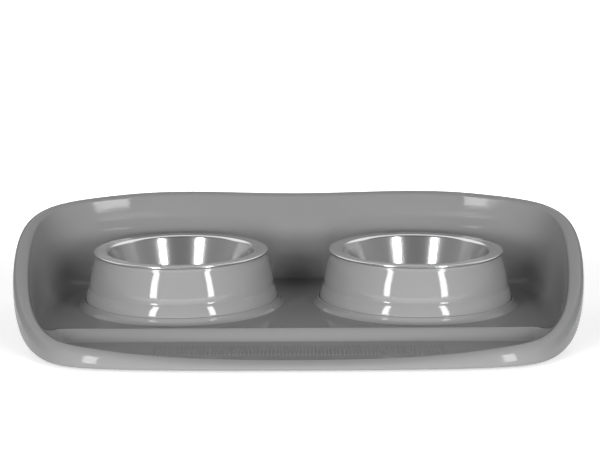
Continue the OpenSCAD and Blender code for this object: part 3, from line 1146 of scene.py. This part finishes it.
@dataclass
class HolderRing:
    """Open, bulged ring that carries one bowl by its flange."""

    rings: Rings
    foot_r: float = 95.2 * MM
    wall_r: float = 91.3 * MM
    top_r: float = 84.2 * MM
    land_r: float = 76.8 * MM
    band_h: float = 18.0 * MM
    bulge: float = 1.5 * MM
    thickness: float = 2.6 * MM
    shoulder_r: float = 4.0 * MM
    band_flare_share: float = 0.75
    steps: int = 24

    def side_curve(self) -> list[Point2]:
        """Outside of the ring, from its foot up to its land.

        Returns:
            Points of radius and height.
        """
        floor = self.rings.floor_h
        band_foot, band_top = floor + self.rings.collar_h, floor + self.band_h
        land = self.rings.land_h
        shoulder = land - self.shoulder_r
        shares = [i / self.steps for i in range(1, self.steps + 1)]
        curve = [(self.foot_r, floor), (self.foot_r, band_foot)]
        for t in shares:
            flare = t**2 * self.band_flare_share + t * (1 - self.band_flare_share)
            curve.append((mix(self.foot_r, self.wall_r, flare), mix(band_foot, band_top, t)))
        for t in shares:
            swell = self.bulge * 4 * t * (1 - t)
            curve.append((mix(self.wall_r, self.top_r, t) + swell, mix(band_top, shoulder, t)))
        for t in shares:
            a = math.pi / 2 * t
            inward, down = self.shoulder_r * (1 - math.cos(a)), self.shoulder_r * (1 - math.sin(a))
            curve.append((self.top_r - inward, land - down))
        curve.append((self.land_r, land))
        return curve

    def build(self, side: Side, material: bpy.types.Material) -> None:
        """Builds, dresses and seats one ring.

        Args:
            side: Side of the ring.
            material: The finish.
        """
        outside = self.side_curve()
        inside = under_side(outside, -self.thickness)
        outline = outside + [(self.land_r, self.rings.land_h - self.thickness)]
        outline += list(reversed(inside[1:-1])) + [(self.foot_r - self.thickness, self.rings.floor_h)]
        name = f"{side.name.lower()}_holder_ring"
        piece = new_piece(f"{name}_shell", turned(outline, self.rings.centre(side), RING_SEGMENTS))
        seat(piece, Body.STAND, Slot.RING, material, name)


@dataclass
class SteelBowl:
    """Flanged bowl of steel sheet with a rolled edge."""

    rings: Rings
    flange_r: float = 86.0 * MM
    mouth_r: float = 75.0 * MM
    depth: float = 54.5 * MM
    sheet: float = 0.9 * MM
    mouth_fillet: float = 2.8 * MM
    base_fillet: float = 11.0 * MM
    bead_r: float = 1.1 * MM
    lean_deg: float = 19.5
    steps: int = 20
    base_steps: int = 6
    segments: int = 256
    sharp_deg: float = 50.0

    def face(self) -> list[Point2]:
        """Inner face, from the middle of the base up to the rolled edge.

        Returns:
            Points of radius, and of height from the flange's upper face.
        """
        lean = math.radians(self.lean_deg)
        inner = self.mouth_fillet + self.sheet
        floor = -self.depth + self.sheet
        wall_h = -floor - (inner + self.base_fillet) * (1 - math.sin(lean))
        base_r = self.mouth_r - (inner + self.base_fillet) * math.cos(lean) - wall_h * math.tan(lean)
        curve = [(base_r * k / self.base_steps, floor) for k in range(self.base_steps)]
        angles = [(math.pi / 2 - lean) * i / self.steps for i in range(self.steps + 1)]
        for a in angles:
            outward, climb = self.base_fillet * math.sin(a), self.base_fillet * (1 - math.cos(a))
            curve.append((base_r + outward, floor + climb))
        for a in reversed(angles):
            curve.append((self.mouth_r - inner * math.sin(a), -inner * (1 - math.cos(a))))
        curve.append((self.flange_r - self.bead_r, 0.0))
        return curve

    def build(self, side: Side, material: bpy.types.Material) -> None:
        """Builds, dresses and seats one bowl.

        Args:
            side: Side of the bowl.
            material: The finish.
        """
        face = self.face()
        turn = math.pi + math.asin((self.bead_r - self.sheet) / self.bead_r)
        bead = []
        for i in range(1, self.steps + 1):
            a = math.pi / 2 - (math.pi / 2 + turn) * i / self.steps
            bead.append((self.flange_r - self.bead_r * (1 - math.cos(a)), -self.bead_r * (1 - math.sin(a))))
        back = under_side(face, self.sheet)
        outline = face + bead + list(reversed(back[1:-1])) + [(0.0, face[0][1] - self.sheet)]
        x, y, _ = self.rings.centre(side)
        mesh = turned(outline, (x, y, self.rings.land_h + self.sheet), self.segments)
        name = f"{side.name.lower()}_bowl"
        piece = new_piece(f"{name}_shell", mesh, self.sharp_deg)
        body = Body.LEFT_BOWL if side is Side.LEFT else Body.RIGHT_BOWL
        seat(piece, body, Slot.BOWL, material, name)


@dataclass
class RubberFoot:
    """Round rubber foot with a shallow hollow in its tread."""

    node: str
    tread_round: float = 1.0 * MM
    hollow_share: float = 0.45
    hollow_depth: float = 0.8 * MM
    hollow_round: float = 0.6 * MM
    hollow_slope: float = 1.2 * MM
    hollow_edge: float = 0.5 * MM
    top_round: float = 0.4 * MM
    segments: int = 72

    def build(self, material: bpy.types.Material) -> None:
        """Builds, dresses and seats the foot in its node's place.

        Args:
            material: The finish.
        """
        low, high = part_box(self.node)
        radius = (high.x - low.x) / 2
        height = high.z - low.z
        hollow = radius * self.hollow_share
        corners = (
            (0.0, self.hollow_depth, 0.0),
            (hollow, self.hollow_depth, self.hollow_round),
            (hollow + self.hollow_slope, 0.0, self.hollow_edge),
            (radius, 0.0, self.tread_round),
            (radius, height, self.top_round),
            (0.0, height, 0.0),
        )
        centre = ((low.x + high.x) / 2, (low.y + high.y) / 2, low.z)
        piece = new_piece(f"{self.node}_pad", turned(rounded(corners), centre, self.segments))
        seat(piece, Body.STAND, Slot.FOOT, material, self.node)


@dataclass(frozen=True)
class LampPair:
    """Two rectangular soft lights of one kind, left and right of the object."""

    name: str
    left_x: float
    right_x: float
    y: float
    z: float
    size: Point2
    watts: float
    mirrored: bool = False

    def build(self, side: Side, aim: Point3) -> None:
        """Adds the light of one side.

        Args:
            side: The side that it stands on.
            aim: The point that it faces.
        """
        place = (self.left_x if side is Side.LEFT else self.right_x, self.y, self.z)
        data = bpy.data.lights.new(f"{side.name.lower()}_{self.name}", "AREA")
        data.shape = "RECTANGLE"
        data.size, data.size_y = self.size
        data.energy = self.watts
        light = bpy.data.objects.new(data.name, data)
        light.location = place
        light.visible_camera = False
        light.visible_glossy = self.mirrored
        light.rotation_euler = (Vector(aim) - Vector(place)).to_track_quat("-Z", "Y").to_euler()
        bpy.context.scene.collection.objects.link(light)


# Glossy surfaces mirror the tall strips alone. The other lights add light without a reflection.
# Each row gives name, left X, right X, Y, Z, width with height, watts, and whether it is mirrored.
LAMPS = (
    LampPair("strip", -0.66, 0.69, -0.95, 0.43, (0.16, 0.8), 6.6, True),
    LampPair("front", -0.45, 0.45, -1.05, 0.2, (0.3, 0.3), 3.4),
    LampPair("low", -0.3, 0.3, -1.2, 0.12, (0.5, 0.2), 1.9),
    LampPair("back", -0.7, 0.7, 0.7, 0.8, (0.6, 0.6), 2.4),
    LampPair("rear", -0.6, 0.6, 1.2, 0.2, (0.5, 0.2), 5.0),
)


@dataclass
class Studio:
    """Camera, lights, white world, pale floor and the room that reflections show."""

    rings: Rings
    camera_x: float = 3.7 * MM
    distance: float = 1.4
    height: float = 0.3499
    pitch_deg: float = 10.471
    yaw_deg: float = -0.082
    roll_deg: float = -0.247
    focal_px: float = 1440.3
    picture_w_px: float = 600.0
    sensor_mm: float = 36.0
    sight: float = 50.0
    aim_h: float = 50.0 * MM
    fill: float = 0.03
    floor_half: float = 8.0
    floor_tone: float = 0.88
    floor_mottle: float = 0.02
    floor_noise_scale: float = 3.0
    floor_noise_detail: float = 2.0
    floor_roughness: float = 0.9
    floor_lift: float = 0.5
    floor_lit_r: float = 0.45
    floor_white_r: float = 0.9
    room_r: float = 3.0
    room_low_deg: float = -2.0
    room_high_deg: float = 88.0
    room_rows: int = 24
    room_columns: int = 72
    room_side: float = 0.42
    room_end: float = 0.36
    room_back: float = 1.1
    room_high_share: float = 0.5
    high_shares: Point2 = (0.1, 0.85)
    side_shares: Point2 = (0.5, 0.8)
    back_shares: Point2 = (0.0, 0.15)
    raised_shares: Point2 = (0.35, 0.5)

    def camera(self) -> None:
        """Places the camera at the photograph's view."""
        data = bpy.data.cameras.new("camera")
        data.sensor_width = self.sensor_mm
        data.lens = self.focal_px / self.picture_w_px * self.sensor_mm
        data.clip_end = self.sight
        camera = bpy.data.objects.new("camera", data)
        camera.location = (self.camera_x, self.rings.y - self.distance, self.height)
        turn = Euler((0.0, 0.0, -math.radians(self.yaw_deg))).to_matrix()
        tilt = Euler((math.pi / 2 - math.radians(self.pitch_deg), 0.0, 0.0)).to_matrix()
        roll = Euler((0.0, 0.0, math.radians(self.roll_deg))).to_matrix()
        camera.rotation_euler = (turn @ tilt @ roll).to_euler()
        bpy.context.scene.collection.objects.link(camera)
        bpy.context.scene.camera = camera

    def world(self) -> None:
        """White for the camera, mirrors and glass, and a plain fill level for everything else."""
        world = bpy.data.worlds.new("world")
        bpy.context.scene.world = world
        world.use_nodes = True
        n = Nodes(world.node_tree)
        back = next(x for x in world.node_tree.nodes if x.type == "BACKGROUND")
        n.preset(back, Color=WHITE)
        shown = n.maths("MULTIPLY", self.seen(n), 1.0 - self.fill)
        n.link(n.maths("ADD", shown, self.fill), back.inputs["Strength"])

    @staticmethod
    def seen(n: Nodes) -> Socket:
        """1 on camera, glossy and transmission rays, else 0.

        Args:
            n: The helper for the nodes.

        Returns:
            The level.
        """
        path = n.add("ShaderNodeLightPath")
        direct = n.maths("MAXIMUM", path.outputs["Is Camera Ray"], path.outputs["Is Glossy Ray"])
        return n.maths("MAXIMUM", direct, path.outputs["Is Transmission Ray"])

    @staticmethod
    def light_up(n: Nodes, principled: bpy.types.Node, glow: Socket) -> None:
        """Makes a matt surface glow white.

        Args:
            n: The helper for the material's nodes.
            principled: The material's Principled node.
            glow: Strength of the glow.
        """
        n.preset(principled, Specular_IOR_Level=0.0, Emission_Color=WHITE)
        n.link(glow, principled.inputs["Emission Strength"])

    def floor(self) -> None:
        """Pale floor that keeps the object's shadow and fades to white far out."""
        mesh = bmesh.new()
        bmesh.ops.create_grid(mesh, x_segments=2, y_segments=2, size=self.floor_half)
        piece = new_piece("studio_floor", mesh)
        material, n, principled = shade("pale_floor")
        noise = n.add("ShaderNodeTexNoise", Scale=self.floor_noise_scale, Detail=self.floor_noise_detail)
        mottle = n.maths("MULTIPLY", noise.outputs["Fac"], self.floor_mottle)
        n.tint(WHITE[:3], n.maths("ADD", self.floor_tone, mottle), principled.inputs["Base Color"])
        n.preset(principled, Roughness=self.floor_roughness)
        out = n.add("ShaderNodeVectorMath", operation="LENGTH")
        n.link(n.add("ShaderNodeTexCoord").outputs["Object"], out.inputs[0])
        lift = n.ramp(out.outputs["Value"], (self.floor_lit_r, self.floor_white_r), (self.floor_lift, 1.0))
        self.light_up(n, principled, n.maths("MULTIPLY", lift, self.seen(n)))
        piece.data.materials.append(material)

    def room(self) -> None:
        """Grey room round the object and over it, which only reflections show.

        It is paler to the left and right, darker high up, and bright at the back from a metre up.
        """
        mesh = bmesh.new()
        turns = [2 * math.pi * k / self.room_columns for k in range(self.room_columns)]
        rows = []
        for i in range(self.room_rows + 1):
            lift = math.radians(mix(self.room_low_deg, self.room_high_deg, i / self.room_rows))
            reach, height = self.room_r * math.cos(lift), self.room_r * math.sin(lift)
            around = [(reach * math.sin(a), -reach * math.cos(a), height) for a in turns]
            rows.append([mesh.verts.new(point) for point in around])
        for low, high in zip(rows, rows[1:]):
            for k in range(self.room_columns):
                after = (k + 1) % self.room_columns
                mesh.faces.new((low[k], low[after], high[after], high[k]))
        piece = new_piece("studio_room", mesh)
        material, n, principled = shade("grey_room")
        n.preset(principled, Base_Color=BLACK)
        split = n.add("ShaderNodeSeparateXYZ")
        n.link(n.add("ShaderNodeTexCoord").outputs["Object"], split.inputs[0])
        x, y, z = (n.maths("DIVIDE", split.outputs[axis], self.room_r) for axis in "XYZ")
        high = n.ramp(z, self.high_shares, (1.0, self.room_high_share))
        beside = n.ramp(n.maths("ABSOLUTE", x), self.side_shares, (self.room_end, self.room_side))
        raised = n.ramp(z, self.raised_shares, (0.0, self.room_back))
        behind = n.maths("MULTIPLY", n.ramp(y, self.back_shares), raised)
        self.light_up(n, principled, n.maths("ADD", n.maths("MULTIPLY", high, beside), behind))
        piece.data.materials.append(material)
        piece.visible_camera = False
        piece.visible_diffuse = False
        piece.visible_shadow = False

    def build(self) -> None:
        """Sets the view, the camera, the world, the floor, the room and the lights."""
        bpy.context.scene.view_settings.view_transform = "Standard"
        self.camera()
        self.world()
        self.floor()
        self.room()
        for side in Side:
            for lamp in LAMPS:
                level = (0.0, self.rings.y, lamp.z)
                lamp.build(side, level if lamp.mirrored else (0.0, 0.0, self.aim_h))


def main() -> None:
    """Builds the studio and every sub-assembly, in order."""
    logging.basicConfig(level=logging.INFO, format="%(name)s: %(message)s")
    low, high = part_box("tray")
    ring_low, ring_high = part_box("right_holder_ring")
    rings = Rings((ring_low.x + ring_high.x) / 2, (ring_low.y + ring_high.y) / 2, ring_high.z)
    Studio(rings).build()
    skin, wear, lines = moulded_skin_group(), edge_wear_group(), spun_lines_group()
    tray_finish = GlossPlastic("tray_plastic", specular=0.2).material(skin, wear)
    ring_finish = GlossPlastic("ring_plastic", colour=(0.255, 0.255, 0.257)).material(skin, wear)
    Tray(high.x - low.x, high.y - low.y, high.z, rings).build(tray_finish)
    for side in Side:
        HolderRing(rings).build(side, ring_finish)
        x, y, _ = rings.centre(side)
        steel = SpunSteel(f"{side.name.lower()}_bowl_steel", (x, y)).material(lines)
        SteelBowl(rings).build(side, steel)
    rubber = SoftRubber("foot_rubber").material(skin)
    for node in FOOT_NODES:
        RubberFoot(node).build(rubber)


if __name__ == "__main__":
    main()
